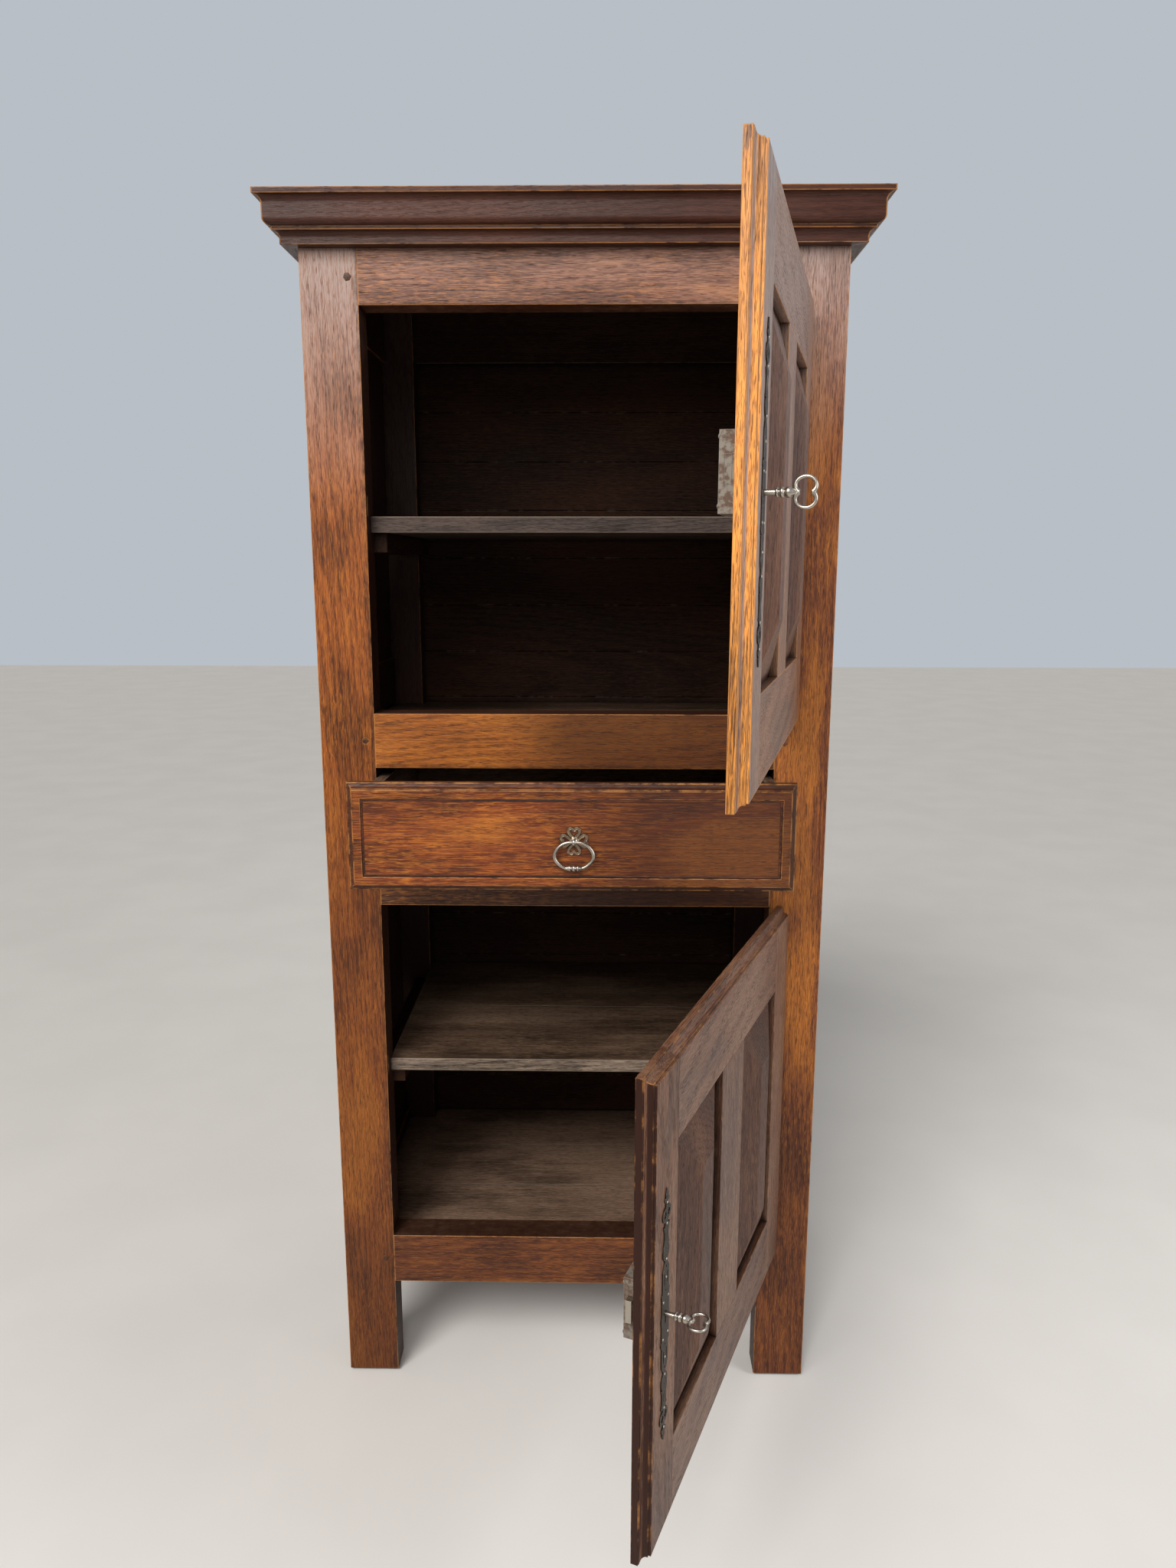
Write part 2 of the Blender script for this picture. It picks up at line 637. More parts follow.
def finish_shader(tree, shader, fields, bump, distance):
    """Gives a shader a group's colour, roughness and metal, and bumps its normal by the group's height."""
    for name, socket in (("Color", "Base Color"), ("Roughness", "Roughness"), ("Metallic", "Metallic")):
        if name in fields:
            plug(tree, shader.inputs[socket], fields[name])
    sockets = {"Strength": bump, "Distance": distance} | {key: fields[key] for key in ("Height", "Normal")}
    plug(tree, shader.inputs["Normal"], made(tree, "Bump", 0, sockets))


def oak_material(name, along, centre=(0, 0, 0), opened=0.0, gloss=0.3, **values):
    """Waxed oak: the log is laid along the board's own grain and starts at its own centre. The values are
    the group's inputs, in small letters."""
    oak = bpy.context.scene.cupboard_oak
    material, tree, shader, place = new_material(name)
    turn = (*GRAIN_TURN[along], math.radians(opened))
    sockets = {"Vector": place, "Location": tuple(centre), "Rotation": turn}
    laid = made(tree, "Mapping", 0, sockets, vector_type="TEXTURE")
    own = {"deep": oak.frame_deep, "light": oak.frame_light, "worn": oak.worn, "bloom": oak.bloom}
    own |= {"ring_width": oak.ring_width, "figure": oak.figure, "polish": oak.polish}
    own |= {"edge_body": values["body"]} | values
    sockets = {"Vector": laid, "Place": place}
    for key, value in own.items():
        label = key.replace("_", " ").title()
        sockets[label] = solid(value) if label in OAK_COLOURS else value
    finish_shader(tree, shader, use_group(tree, "old waxed oak", sockets), bump=0.3, distance=0.0006)
    shader.inputs["Specular IOR Level"].default_value = gloss
    return material


def iron_material(name, metal, rust_amount, gloss, edge=0.0005, bump=0.25, bare=1.0):
    iron = bpy.context.scene.cupboard_iron
    material, tree, shader, place = new_material(name)
    sockets = {"Place": place, "Metal": solid(metal), "Rust": solid(iron.rust), "Rust Amount": rust_amount}
    sockets |= {"Edge Width": edge, "Gloss": gloss, "Bare": bare}
    finish_shader(tree, shader, use_group(tree, "old iron", sockets), bump, distance=0.0002)
    return material


def dress(node, material):
    """Gives a CAD node's slots this finish."""
    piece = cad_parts[node]
    if not piece.material_slots:
        piece.data.materials.append(material)
    for slot in piece.material_slots:
        slot.material = material


def middle(node):
    low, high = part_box(node)
    return (low + high) / 2


def board(node, along, opened=0.0, **values):
    """One node's own board: the letters of its name, added up, choose its place along the log."""
    cut = sum(map(ord, node)) % CUTS
    centre = middle(node) + GRAIN_WAY[along] * (FIRST_CUT + CUT_STEP * cut)
    values["heart"] = FIRST_HEART + HEART_STEP * cut
    dress(node, oak_material("oak_" + node, along, centre, opened, **values))


def soiled_edge(axis, edge, way):
    """Soils a board along one edge: the clean box ends there, and reaches far the other way."""
    centre = [0.0, 0.0, 0.0]
    half = list(NOWHERE)
    centre[axis] = edge - FAR * way
    half[axis] = FAR
    return {"border_middle": tuple(centre), "border_half": tuple(half)}


def finish_outside(oak):
    """Posts, rails and sides of the carcass. Their faces towards the middle of the cupboard are dark."""
    centre = (middle("rear_left_post") + middle("front_right_post")) / 2
    hidden = {"inner": 1.0, "middle": tuple(centre), "edge_body": oak.back_body}
    post = hidden | {"wear": 0.55, "bloom_amount": 1.2, "bloom_high": 1.95}
    _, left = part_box("front_left_post")
    right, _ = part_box("front_right_post")
    for node, body, bloom_low, soil_height, hands in (
        ("front_left_post", oak.frame_body, 1.42, 1.2, soiled_edge(0, left.x, 1)),
        ("front_right_post", oak.right_body, 1.56, 0.8, soiled_edge(0, right.x, -1)),
        ("rear_left_post", oak.frame_body, 1.5, 1.2, {}),
        ("rear_right_post", oak.frame_body, 1.5, 1.2, {}),
    ):
        board(node, "z", body=body, bloom_low=bloom_low, soil_height=soil_height, **post, **hands)
    rail = hidden | {"wear": 0.6, "bloom_amount": 0.65, "bloom_low": 1.6, "bloom_high": 2.0}
    rail |= {"soil_height": 1.05, "edge_way": (0, 0, 1)}
    for node, body, dark_from in (
        ("drawer_rail", oak.panel_body, 0.2),
        ("middle_rail", oak.golden_body, 0.2),
        ("top_rail", oak.right_body, FAR),
    ):
        low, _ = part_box(node)
        board(node, "x", body=body, dark_from=dark_from, **rail, **soiled_edge(2, low.z, -1))
    _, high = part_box("bottom_rail")
    rail |= {"edge_body": oak.inner_body} | soiled_edge(2, high.z, 1)
    board("bottom_rail", "x", body=oak.right_body, **rail)
    board("side_rails", "y", body=oak.frame_body, bloom_amount=0.4, soil_height=1.2, **hidden)
    panel = hidden | {"light": oak.golden_body, "figure": 0.5, "bloom_amount": 0.3, "soil_height": 0.6}
    board("side_panels", "z", body=oak.panel_body, **panel)
    cornice = {"body": oak.cornice_body, "light": oak.cornice_light, "wear": 0.6, "bloom_amount": 0.0}
    cornice |= {"polish": 0.9, "gloss": 0.22}
    for node, along in (("cornice_front", "x"), ("cornice_left", "y"), ("cornice_right", "y")):
        board(node, along, **cornice)


def finish_inside(oak, old):
    """The back, the boards and shelves, and what carries them: dry wood, without wax."""
    dark = old | {"body": oak.back_body, "light": oak.back_light, "polish": 0.15}
    board("rear_rails", "x", soil_height=0.3, **dark)
    board("back_planks", "x", wear=0.3, soil_height=0.1, **dark)
    board("top_boards", "x", **dark)
    board("floor_cleats", "x", **dark)
    for node in ("shelf_cleats", "drawer_runners", "drawer_kickers"):
        board(node, "y", wear=0.1, **dark)
    shelf = old | {"soil_height": 0.1, "wear": 0.85, "wear_width": 0.003, "polish": 0.35}
    for node, body, edge_body in (
        ("bottom_boards", oak.floor_body, oak.floor_body),
        ("lower_shelf", oak.inner_body, oak.dry_worn),
        ("upper_floor", oak.inner_body, oak.inner_body),
        ("upper_shelf", oak.shelf_body, oak.shelf_body),
    ):
        board(node, "x", body=body, edge_body=edge_body, edge_way=(0, -1, 0), **shelf)


def finish_doors(oak):
    """Both doors. The lock stile's outer edge has its own colour, and more bloom lies on its face."""
    upper = {"body": oak.upper_body, "light": oak.upper_light, "edge_body": oak.upper_edge}
    upper |= {"soil_height": 0.1, "wear": 0.7, "figure": 0.6}
    lower = {"body": oak.door_body, "light": oak.door_light, "edge_body": oak.lower_edge}
    lower |= {"soil_height": 1.3, "wear": 0.3, "figure": 0.85}
    both = {"gloss": 0.4, "polish": 0.7, "bloom_amount": 0.6, "bloom_low": 1.4, "bloom_high": 1.8}
    on_stile = {"bloom_amount": 0.95, "bloom_low": 0.9, "bloom_high": 1.6}
    on_panel = {"body": oak.panel_body, "wear": 0.5, "figure": 1.0, "gloss": 0.22, "bloom_amount": 0.25}
    for door, wood, stile in ((UPPER, upper | both, {"figure": 1.0}), (LOWER, lower | both, {"gloss": 0.2})):
        across, _ = door.ways()
        name = door.name + "_door_"
        stile |= on_stile | {"edge_way": tuple(-across)}
        board(name + "lock_stile", "z", door.opened, **wood | stile)
        for part, along in (("hinge_stile", "z"), ("muntin", "z"), ("top_rail", "x"), ("bottom_rail", "x")):
            board(name + part, along, door.opened, **wood)
        for part in ("left_panel", "right_panel"):
            board(name + part, "z", door.opened, **wood | on_panel | {"light": wood["body"]})


def finish_drawer(oak, old):
    """The drawer's waxed front, soiled along its border, and its dry box."""
    low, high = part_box("drawer_front")
    clean = tuple(half - 0.006 for half in (high - low) / 2)
    front = {"body": oak.drawer_body, "wear": 0.45, "soil_height": 0.1, "dark_from": 0.26}
    board("drawer_front", "x", border_middle=tuple((low + high) / 2), border_half=clean, **front)
    for part, along in (("left_side", "y"), ("right_side", "y"), ("back", "x"), ("bottom", "x")):
        board("drawer_" + part, along, body=oak.inner_body, **old)


# Pieces of the pull and the keys

# the bail in mm from its middle: its top's height, half of the top's flat, where its shoulder, side and
# low arcs have their middles, and the side arc's radius
BAIL_TOP = 20.5
TOP_FLAT = 4.5
SHOULDER_BELOW = 3.91
SIDE_X = 14.15
LOW_ABOVE = 12.15
SIDE_RADIUS = 14.0
# half of the turned grip, from its end to its middle: (distance from the middle, radius), in mm
GRIP = (
    (12, 2.45), (9.5, 3.1), (7.6, 3.8), (6.2, 4.3), (5.4, 4.4), (4.7, 4.15), (4.3, 3.5), (4.0, 2.7),
    (3.6, 2.6), (3.2, 2.7), (2.7, 3.3), (2.1, 3.9), (1.3, 4.3), (0.6, 4.42), (0.0, 4.45),
)
# the ring that turns on the bail's bar: (along the bar, radius), and the stem under it: (out, radius)
EYE_RING = (
    (-2.6, 2.7), (-2.6, 3.9), (-2.0, 4.6), (-0.8, 4.95), (0.8, 4.95), (2.0, 4.6), (2.6, 3.9), (2.6, 2.7),
)
EYE_STEM = ((0.2, 5.2), (1.0, 5.1), (1.9, 4.4), (2.4, 3.2), (3.0, 2.6), (4.6, 2.4), (5.4, 2.4))
# the rolled section of the petals' band: (share of its width, out), and the hub: (out, radius)
PETAL_SECTION = (
    (-0.5, 0), (-0.5, 0.9), (-0.46, 1.7), (-0.38, 2.0), (-0.28, 1.7), (-0.2, 0.9), (0.2, 0.9), (0.28, 1.6),
    (0.38, 1.9), (0.46, 1.6), (0.5, 0.9), (0.5, 0),
)
HUB = ((0.0, 6.4), (1.0, 6.2), (1.5, 5.4), (1.7, 4.0), (1.75, 0.5))
# a petal in mm: the middle, radius and turn in degrees of its lobe, its notch, and the control points of
# the curve down to its foot
LOBE = (4.7, 15.0)
LOBE_RADIUS = 3.7
LOBE_TURN = (-52, 112)
NOTCH = (0.55, 15.9)
FOOT = ((7.4, 11.2), (4.6, 8.2), (1.0, 4.4))
# the key's end beyond the door, its bow's length, and the outline of its bit: (out, down), in mm
KEY_END = 74.6
BOW_LENGTH = 23.0
BIT = ((2.5, 1.6), (2.5, 11), (6.0, 11), (6.0, 7.6), (7.6, 7.6), (7.6, 11), (12.5, 11), (12.5, 1.6))
BIT_HALF = 1.55
# each lobe of the bow is an ellipse about a middle to its side, with its half length along the key
BOW_GAP = 6.3
BOW_HALF = 9.9
# the shank's hollow end, (out, radius), and past the shank two collars and a bulb that tapers into the
# bow, (out from the bow's foot, what it adds to the shank's radius)
HOLLOW = ((8.0, 1.75), (-13.5, 1.75))
COLLARS = (
    (-17.4, -0.4), (-17.0, 0.9), (-16.2, 1.5), (-15.2, 1.5), (-14.4, 0.8), (-14.0, -0.1), (-13.4, -0.1),
    (-12.8, 1.3), (-11.8, 2.0), (-10.4, 2.1), (-9.2, 1.5), (-8.6, 0.5), (-7.6, 0.9), (-6.2, 1.9),
    (-4.4, 2.1), (-2.6, 1.6), (-0.6, 0.5), (1.8, -0.6), (4.4, -1.5),
)


def arc(x, z, radius, start, end, count):
    """Points of an arc about (x, z): x + radius * sin a across and z + radius * cos a up."""
    a = np.linspace(start, end, count, endpoint=False)
    return np.stack([x + radius * np.sin(a), z + radius * np.cos(a)], -1)


def bail_half():
    """The bail's right half from its top to the grip, (across, up) in mm from its middle: a flat top and
    three arcs, each of which meets the next with the same direction. It also gives the grip's height."""
    shoulder_turn = math.atan2(SIDE_X - TOP_FLAT, SHOULDER_BELOW)
    side_turn = math.pi - math.atan2(SIDE_X, LOW_ABOVE)
    low_radius = BAIL_TOP + LOW_ABOVE
    low_turn = math.pi - math.asin(GRIP[0][0] / low_radius)
    flat = np.stack([np.linspace(0, TOP_FLAT, 4, endpoint=False), np.full(4, BAIL_TOP)], -1)
    shoulder = arc(TOP_FLAT, -SHOULDER_BELOW, BAIL_TOP + SHOULDER_BELOW, 0, shoulder_turn, 16)
    side = arc(SIDE_X, 0, SIDE_RADIUS, shoulder_turn, side_turn, 20)
    low = arc(0, LOW_ABOVE, low_radius, side_turn, low_turn, 12)
    return np.vstack([flat, shoulder, side, low]), LOW_ABOVE + low_radius * math.cos(low_turn)


def petal_outline():
    """A petal, (across, up) in mm from the plate's middle: the notch at its tip, a round lobe, then a cubic
    curve, and the same mirrored. The curve is the sum of its four points, each times its share:
    (1-b)^3, 3b(1-b)^2, 3b^2(1-b) and b^3."""
    a = np.linspace(*np.radians(LOBE_TURN), 26)
    lobe = np.array(LOBE) + LOBE_RADIUS * np.stack([np.sin(a), np.cos(a)], -1)
    b = np.linspace(0, 1, 12)[1:, None]
    shares = ((1 - b) ** 3, 3 * b * (1 - b) ** 2, 3 * b**2 * (1 - b), b**3)
    foot = sum(part * np.array(point) for part, point in zip(shares, (lobe[-1], *FOOT)))
    half = np.vstack([[NOTCH], lobe, foot])
    return np.vstack([half, (half * [-1, 1])[::-1]])


def key_profile(radius):
    """The key's outline from its hollow end to its bow: (out of the door's back, radius), in mm."""
    base = KEY_END - BOW_LENGTH
    hollow_end = HOLLOW[-1][0]
    profile = [*HOLLOW, (hollow_end, radius - 0.3), (hollow_end + 0.4, radius), (30.0, radius - 0.2)]
    profile += [(base + out, radius + more) for out, more in COLLARS]
    return np.array(profile + [(base + 6.0, 0.8)])


# Operators


class CUPBOARD_OT_finish_oak(bpy.types.Operator):
    """Gives every wooden node its own board of waxed oak"""

    bl_idname = "cupboard.finish_oak"
    bl_label = "Finish the oak"

    def execute(self, context):
        oak = context.scene.cupboard_oak
        make_grain_group()
        make_wear_group()
        make_oak_group()
        old = {"light": oak.inner_light, "deep": oak.inner_deep, "worn": oak.dry_worn}
        old |= {"bloom_amount": 0.0, "gloss": 0.1}
        finish_outside(oak)
        finish_inside(oak, old)
        finish_doors(oak)
        finish_drawer(oak, old)
        return {"FINISHED"}


class CUPBOARD_OT_finish_iron(bpy.types.Operator):
    """Gives hinges, plates, locks and the pull their iron"""

    bl_idname = "cupboard.finish_iron"
    bl_label = "Finish the iron"

    def execute(self, context):
        iron = context.scene.cupboard_iron
        make_iron_group()
        pitted = iron_material("pitted_iron", iron.plate, 0.35, 0.35)
        rubbed = iron_material("rubbed_iron", iron.bright, 0.25, 0.85, edge=0.0003, bump=0.12)
        black = iron_material("black_iron", iron.black, 0.5, 0.25)
        dusty = iron_material("dusty_iron", iron.case, 0.7, 0.1, bare=0.25)
        petal = iron_material("petal_iron", iron.brown, 0.3, 0.75, edge=0.0004)
        for door, bolt in (("upper_", dusty), ("lower_", rubbed)):
            dress(door + "hinge_frame_leaves", black)
            dress(door + "hinge_door_leaves", black)
            dress(door + "escutcheon", pitted)
            dress(door + "lock_case", dusty)
            dress(door + "lock_bolt", bolt)
            dress(door + "key", rubbed)
        for node, metal in (("pull_plate", petal), ("pull_eye", rubbed), ("pull_bail", rubbed)):
            dress(node, metal)
        return {"FINISHED"}


class CUPBOARD_OT_pull(bpy.types.Operator):
    """Makes the ring pull: an oval bail with a turned grip, its eye, and a plate of four petals"""

    bl_idname = "cupboard.pull"
    bl_label = "Ring pull"

    def execute(self, context):
        pull = context.scene.cupboard_pull
        rubbed = bpy.data.materials["rubbed_iron"]
        eye = drawn(*EYE)
        seat = eye + np.array([0, EYE_TO_FIELD, 0]) * MM
        out = (0, -1, 0)

        right, grip_z = bail_half()
        fullness = np.clip(right[:, 0] / (SIDE_X + SIDE_RADIUS), 0, 1)
        radius = pull.wire / MM + (pull.side - pull.wire) / MM * fullness
        grip = np.array(GRIP)
        right = np.vstack([right, np.stack([grip[:, 0], np.full(len(grip), grip_z)], -1)])
        radius = np.concatenate([radius, grip[:, 1]])
        flat = np.vstack([right, (right * [-1, 1])[-2:0:-1]])
        radius = np.concatenate([radius, radius[-2:0:-1]])
        path = eye + np.stack([flat[:, 0], np.zeros(len(flat)), flat[:, 1] - BAIL_TOP], -1) * MM
        bail = wire(path, radius * MM, (0, 1, 0), 24, closed=True)
        new_piece("bail_with_grip", [bail], rubbed, "bail", ["pull_bail"], sharp=50)

        # the eye's ring: its section carried round the bar, point = (along, radius * cos a, radius * sin a)
        along, reach = np.array(EYE_RING).T * MM
        a = circle_steps(32)[:, None]
        rings = np.stack([along + 0 * a, reach * np.cos(a), reach * np.sin(a)], -1)
        ring = skin(eye + rings, closed=True)
        stem = turned(np.array(EYE_STEM) * MM, seat - np.array([0, 1.0, 0]) * MM, out)
        new_piece("eye_loop", [ring, stem], rubbed, "drawer", ["pull_eye"])

        section = np.array(PETAL_SECTION) * [pull.petal_band, MM]
        across, up = petal_outline().T * MM
        parts = []
        for turn in range(4):
            c = math.cos(turn * math.pi / 2)
            s = math.sin(turn * math.pi / 2)
            petal = np.stack([c * across - s * up, np.zeros(len(up)), s * across + c * up], -1)
            parts.append(band(seat + petal, section, out))
        parts.append(turned(np.array(HUB) * MM, seat, out))
        finish = bpy.data.materials["petal_iron"]
        new_piece("petal_plate", parts, finish, "drawer", ["pull_plate"], sharp=45)
        return {"FINISHED"}


class CUPBOARD_OT_keys(bpy.types.Operator):
    """Makes both keys: a hollow shank with turned collars, a slotted bit and a bow of two lobes"""

    bl_idname = "cupboard.keys"
    bl_label = "Keys"

    def execute(self, context):
        keys = context.scene.cupboard_keys
        rubbed = bpy.data.materials["rubbed_iron"]
        profile = key_profile(keys.shank / MM) * MM
        # each lobe is an ellipse, cut near the middle of the key, where the two ellipses meet
        high = keys.lobe / MM
        reach = math.acos(-BOW_GAP / high)
        a = np.linspace(-reach * 0.99, reach * 0.99, 48)
        radius = keys.thin + (keys.thick - keys.thin) * np.abs(a / reach) ** 3
        bow_out = (KEY_END - BOW_LENGTH / 2 + BOW_HALF * np.sin(a))[:, None] * MM
        bow_up = (BOW_GAP + high * np.cos(a))[:, None] * MM
        bit_out, bit_down = np.array(BIT).T[:, :, None] * MM
        for door in (UPPER, LOWER):
            across, out = door.ways()
            start = door.spot(0, -0.5, 0)
            t = math.radians(door.key_turn)
            up = np.array([0, 0, math.cos(t)]) + across * math.sin(t)
            face = np.cross(out, up)
            parts = [turned(profile, start, out)]
            for way in (1, -1):
                parts.append(wire(start + bow_out * out + way * bow_up * up, radius, face, 18))
            outline = start - bit_out * out - bit_down * up
            parts.append(slab(np.stack([outline + face * side * MM for side in (-BIT_HALF, BIT_HALF)])))
            key = door.name + "_key"
            new_piece(door.name + "_turned_key", parts, rubbed, key, [key], sharp=50)
        return {"FINISHED"}


def whittled(tip, corner, angles, profile):
    """A peg with a corner at each angle, about an axis along Y: point = tip + (share * corner * sin a, y,
    share * corner * cos a), for each (share, y) of the profile."""
    across = corner * np.sin(angles)
    up = corner * np.cos(angles)
    deep = np.ones(len(angles))
    return skin([tip + np.stack([part * across, y * deep, part * up], -1) * MM for part, y in profile])


class CUPBOARD_OT_pegs(bpy.types.Operator):
    """Makes the wooden pegs of the frame, one of them cut to a diamond"""

    bl_idname = "cupboard.pegs"
    bl_label = "Pegs"

    def execute(self, context):
        trim = context.scene.cupboard_trim
        stub = ((0.68, 41), (0.68, 0.9), (1.0, 0.85), (1.0, 0.15), (0.9, -0.2), (0.2, -0.35))
        diamond = ((5.6, 3.0), (5.6, -0.75), (4.9, -1.15), (1.0, -1.3))
        parts = []
        for x, z in ((x, z) for x in (-PEG_X, PEG_X) for z in PEG_HEIGHTS):
            tip = drawn(x, PEG_FRONT, z)
            if (x, z) == DIAMOND_PEG:
                tip = drawn(x, DIAMOND_FRONT, z)
                parts.append(whittled(tip, 1.0, circle_steps(4), diamond))
            # five to seven sides, each corner at its own distance, a little proud of the wood
            sides = 5 + int(z) % 3
            angles = circle_steps(sides) + 0.01 * z
            corner = (trim.peg / MM + 1.1) * (1 + 0.06 * np.sin(3 * angles + z))
            parts.append(whittled(tip, corner, angles, stub))
        light = context.scene.cupboard_oak.frame_body
        colours = {"body": trim.peg_body, "deep": trim.peg_deep, "light": light}
        wood = oak_material("oak_pegs", "y", wear=0.6, wear_width=0.0008, bloom_amount=0.1, **colours)
        dress("frame_pegs", wood)
        new_piece("oak_pegs", parts, wood, "carcass", ["frame_pegs"])
        return {"FINISHED"}


class CUPBOARD_OT_nails(bpy.types.Operator):
    """Puts nail heads on the keyhole plates, and rivets on the lock cases"""

    bl_idname = "cupboard.nails"
    bl_label = "Nails and rivets"

    def execute(self, context):
        radius = context.scene.cupboard_trim.nail
        rubbed = bpy.data.materials["rubbed_iron"]
        dusty = bpy.data.materials["dusty_iron"]
        # places in mm: on the upper half of a plate, from its middle, and on a case, from the lock's
        on_plate = ((0, 52.0), (0, 75.0), (0, 120.0), (0, 146.0), (-8.5, 24.0), (8.5, 24.0))
        on_case = ((-29.4, -14), (-29.4, 50), (10.2, -14), (10.2, 50))
        for door in (UPPER, LOWER):
            _, out = door.ways()
            body = door.name + "_door"
            nails = [
                dome(radius, radius * 0.55, door.spot(side, PLATE_FRONT, way * up + PLATE_MIDDLE), out)
                for way in (-1, 1) for side, up in on_plate
            ]
            new_piece(door.name + "_plate_nails", nails, rubbed, body)
            rivets = [
                dome(2.4 * MM, 1.3 * MM, door.spot(side, CASE_BACK, up), -out, 0.2) for side, up in on_case
            ]
            new_piece(door.name + "_case_rivets", rivets, dusty, body)
        return {"FINISHED"}


class CUPBOARD_OT_field_bead(bpy.types.Operator):
    """Runs a small bead round the sunk field of the drawer's front"""

    bl_idname = "cupboard.field_bead"
    bl_label = "Drawer bead"

    def execute(self, context):
        trim, oak = context.scene.cupboard_trim, context.scene.cupboard_oak
        # half a round, mitred at the corners: each corner carries the section along its own diagonal
        width = trim.bead / MM
        s = np.linspace(0, np.pi, 9)
        inwards = np.concatenate([[0.0], 0.2 + width / 2 - width / 2 * np.cos(s), [width + 0.4]])
        out = np.concatenate([[-0.4], 0.15 + 1.15 * np.sin(s), [-0.4]])
        rings = [
            np.stack([x - np.sign(x) * inwards, FIELD_Y - out, z + up * inwards], -1)
            for x, z, up in (
                (-FIELD_X, FIELD_LOW, 1), (FIELD_X, FIELD_LOW, 1), (FIELD_X, FIELD_HIGH, -1),
                (-FIELD_X, FIELD_HIGH, -1),
            )
        ]
        points = (np.array(rings) + DRAWING) * MM
        colours = {"body": oak.frame_deep, "deep": trim.bead_deep, "light": oak.drawer_body}
        wood = oak_material("oak_bead", "x", wear=0.75, wear_width=0.0008, soil_height=0.0, **colours)
        new_piece("field_bead", [skin(points, closed=True)], wood, "drawer", sharp=50)
        return {"FINISHED"}


# Stage

# places in metres, and what each lamp looks at
LAMP_PLACE, LAMP_AIM = Vector((-0.5, -2.2, 2.75)), Vector((0.36, 0.0, 1.15))
SIDE_PLACE, SIDE_AIM = Vector((3.2, -1.9, 1.9)), Vector((0.6, -0.3, 1.0))
SKY_WAY = Vector((0.35, 0.75, -0.75))
# the camera, fitted to the photo: it looks down, a little to the left, and hardly rolls
CAMERA_PLACE = (0.408941, -1.717486, 1.405141)
CAMERA_DOWN, CAMERA_LEFT = math.radians(11.266), math.radians(1.0065)
CAMERA_ROLL = 0.000933
FLOOR_HALF = 14.0


def put_light(name, kind, energy, tint, place, look, **settings):
    """A light of one kind at a place, looking one way."""
    light = bpy.data.lights.new(name, kind)
    light.energy = energy
    light.color = tint
    for key, value in settings.items():
        setattr(light, key, value)
    holder = bpy.data.objects.new(name, light)
    holder.location = place
    holder.rotation_euler = look.to_track_quat("-Z", "Y").to_euler()
    bpy.context.scene.collection.objects.link(holder)


def put_floor(stage):
    """A pale floor, faintly mottled, a little under the cupboard's feet."""
    r = FLOOR_HALF
    mesh = bpy.data.meshes.new("pale_floor")
    mesh.from_pydata([(-r, -r, 0), (r, -r, 0), (r, r, 0), (-r, r, 0)], [], [(0, 1, 2, 3)])
    floor = bpy.data.objects.new("pale_floor", mesh)
    floor.location = (0.36, 0, -0.0006)
    bpy.context.scene.collection.objects.link(floor)
    material, tree, shader, place = new_material("pale_floor")
    darker = solid(0.96 * c for c in stage.floor)
    mottled = mix(tree, ramp(noise(place, 3.0, 3.0), 0.3, 0.7), solid(stage.floor), darker)
    plug(tree, shader.inputs["Base Color"], mottled)
    shader.inputs["Roughness"].default_value = 0.85
    mesh.materials.append(material)


def put_world(stage):
    """Soft light from all round, and the backdrop's colour where the camera, a gloss or glass sees it."""
    world = bpy.data.worlds.new("soft_room")
    world.use_nodes = True
    bpy.context.scene.world = world
    tree = world.node_tree
    tree.nodes.clear()
    rays = add(tree, "LightPath").outputs
    camera, glossy, through = (
        Field(tree, rays[name]) for name in ("Is Camera Ray", "Is Glossy Ray", "Is Transmission Ray")
    )
    seen = (camera + glossy + through).within_one()
    soft = made(tree, "Background", 0, {"Color": (1, 0.985, 0.96, 1), "Strength": stage.fill})
    pale = made(tree, "Background", 0, {"Color": solid(stage.backdrop), "Strength": 1.0})
    add(tree, "OutputWorld", {"Surface": made(tree, "MixShader", 0, {0: seen, 1: soft, 2: pale})})


def put_camera(stage):
    camera = bpy.data.cameras.new("photo_camera")
    camera.lens = stage.lens
    camera.sensor_width = 36.0
    camera.clip_start, camera.clip_end = 0.05, 60
    viewer = bpy.data.objects.new("photo_camera", camera)
    tilt = Euler((math.pi / 2 - CAMERA_DOWN, 0, CAMERA_LEFT)).to_matrix()
    turn = (tilt @ Matrix.Rotation(CAMERA_ROLL, 3, "Z")).to_4x4()
    viewer.matrix_world = Matrix.Translation(CAMERA_PLACE) @ turn
    bpy.context.scene.collection.objects.link(viewer)
    bpy.context.scene.camera = viewer


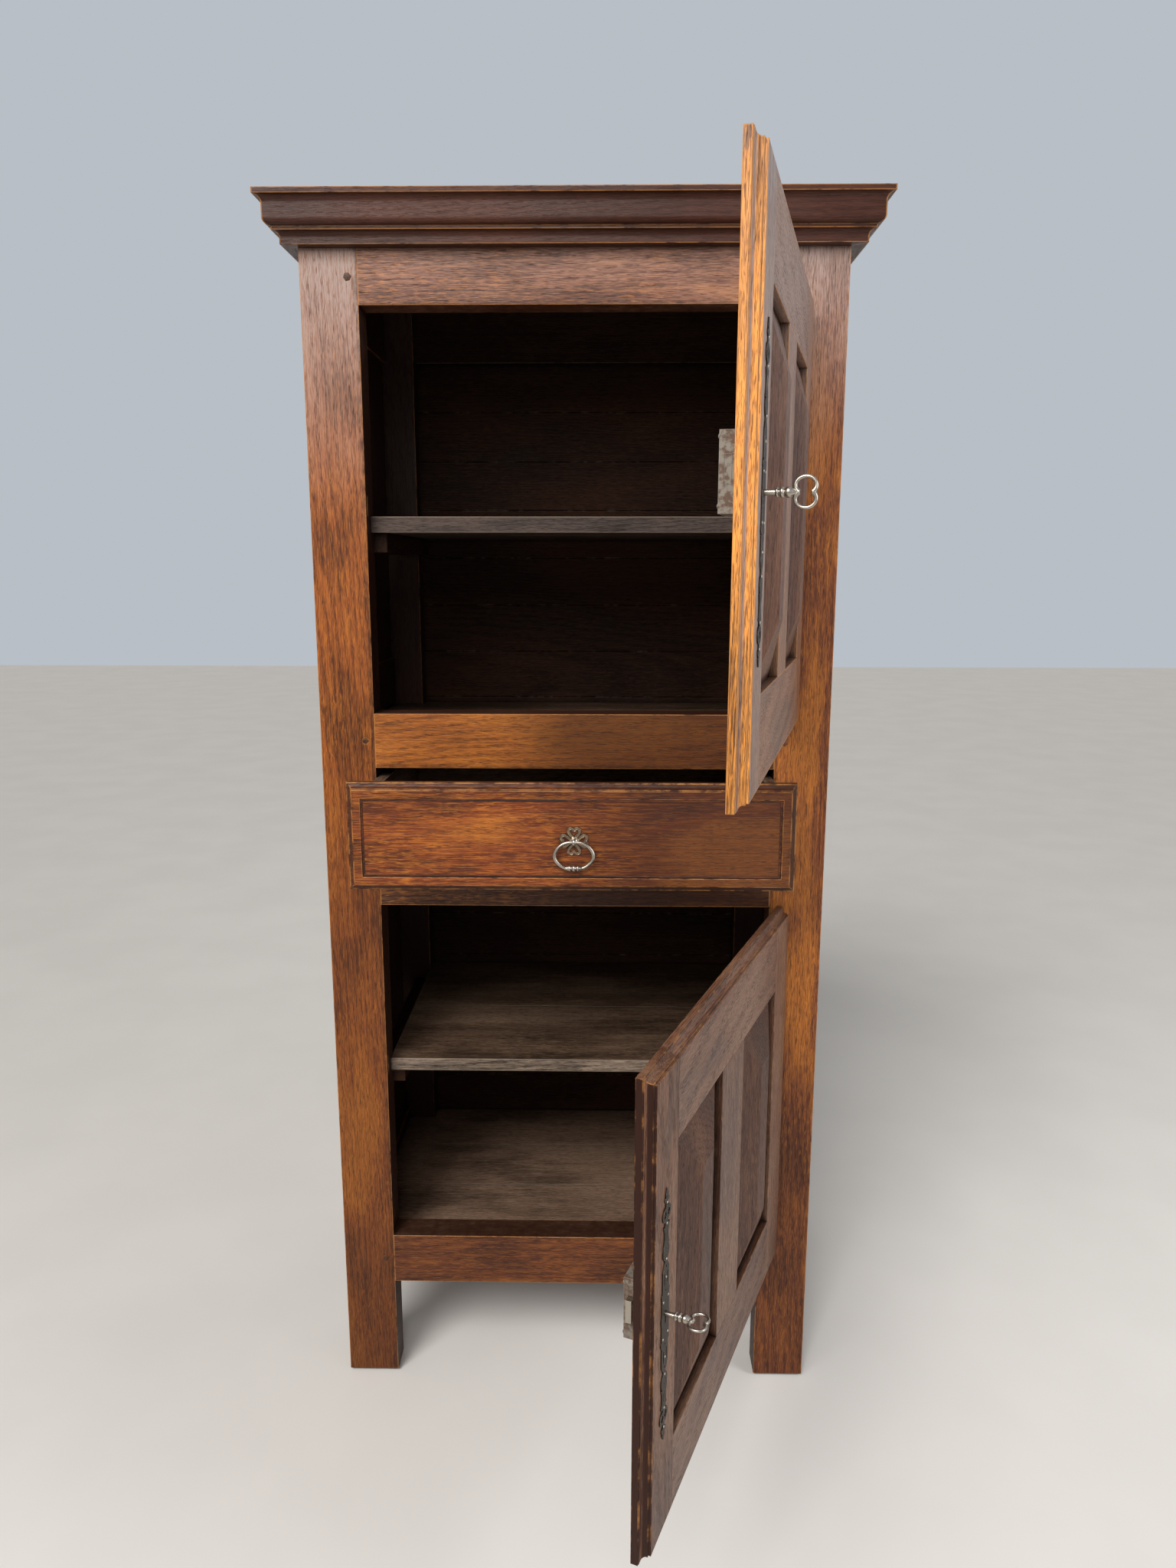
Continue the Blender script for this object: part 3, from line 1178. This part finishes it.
class CUPBOARD_OT_stage(bpy.types.Operator):
    """Sets the pale floor, the soft light and the camera"""

    bl_idname = "cupboard.stage"
    bl_label = "Stage"

    def execute(self, context):
        stage = context.scene.cupboard_stage
        put_floor(stage)
        put_world(stage)
        area = {"shape": "RECTANGLE", "size": 2.4, "size_y": 1.6}
        look = LAMP_AIM - LAMP_PLACE
        put_light("soft_lamp", "AREA", stage.lamp, (1.0, 0.97, 0.93), LAMP_PLACE, look, **area)
        disc = {"angle": math.radians(24)}
        put_light("broad_light", "SUN", stage.sun, (1.0, 0.98, 0.95), (0, 0, 0), SKY_WAY, **disc)
        area = {"shape": "RECTANGLE", "size": 1.4, "size_y": 2.0}
        look = SIDE_AIM - SIDE_PLACE
        put_light("side_lamp", "AREA", stage.side_lamp, (0.95, 0.97, 1.0), SIDE_PLACE, look, **area)
        put_camera(stage)
        context.scene.view_settings.view_transform = "Standard"
        return {"FINISHED"}


class CUPBOARD_PT_panel(bpy.types.Panel):
    """Lists the cupboard's pieces, with their sizes and colours"""

    bl_idname = "CUPBOARD_PT_panel"
    bl_label = "Cupboard"
    bl_space_type = "VIEW_3D"
    bl_region_type = "UI"
    bl_category = "Cupboard"

    def draw(self, context):
        for operator, settings in STEPS:
            box = self.layout.box()
            box.operator(operator.bl_idname)
            if settings:
                group = getattr(context.scene, settings)
                for key in group.__annotations__:
                    box.prop(group, key)


GROUPS = {
    "cupboard_oak": CupboardOak,
    "cupboard_iron": CupboardIron,
    "cupboard_pull": CupboardPull,
    "cupboard_keys": CupboardKeys,
    "cupboard_trim": CupboardTrim,
    "cupboard_stage": CupboardStage,
}
STEPS = (
    (CUPBOARD_OT_stage, "cupboard_stage"),
    (CUPBOARD_OT_finish_oak, "cupboard_oak"),
    (CUPBOARD_OT_finish_iron, "cupboard_iron"),
    (CUPBOARD_OT_pull, "cupboard_pull"),
    (CUPBOARD_OT_keys, "cupboard_keys"),
    (CUPBOARD_OT_pegs, "cupboard_trim"),
    (CUPBOARD_OT_nails, None),
    (CUPBOARD_OT_field_bead, None),
)


def register():
    for name, group in GROUPS.items():
        bpy.utils.register_class(group)
        setattr(bpy.types.Scene, name, bpy.props.PointerProperty(type=group))
    for operator, _ in STEPS:
        bpy.utils.register_class(operator)
    bpy.utils.register_class(CUPBOARD_PT_panel)


def unregister():
    bpy.utils.unregister_class(CUPBOARD_PT_panel)
    for operator, _ in reversed(STEPS):
        bpy.utils.unregister_class(operator)
    for name, group in reversed(GROUPS.items()):
        delattr(bpy.types.Scene, name)
        bpy.utils.unregister_class(group)


def main():
    """Makes the cupboard's looks in order."""
    register()
    for operator, _ in STEPS:
        family, name = operator.bl_idname.split(".")
        getattr(getattr(bpy.ops, family), name)()


if __name__ == "__main__":
    main()
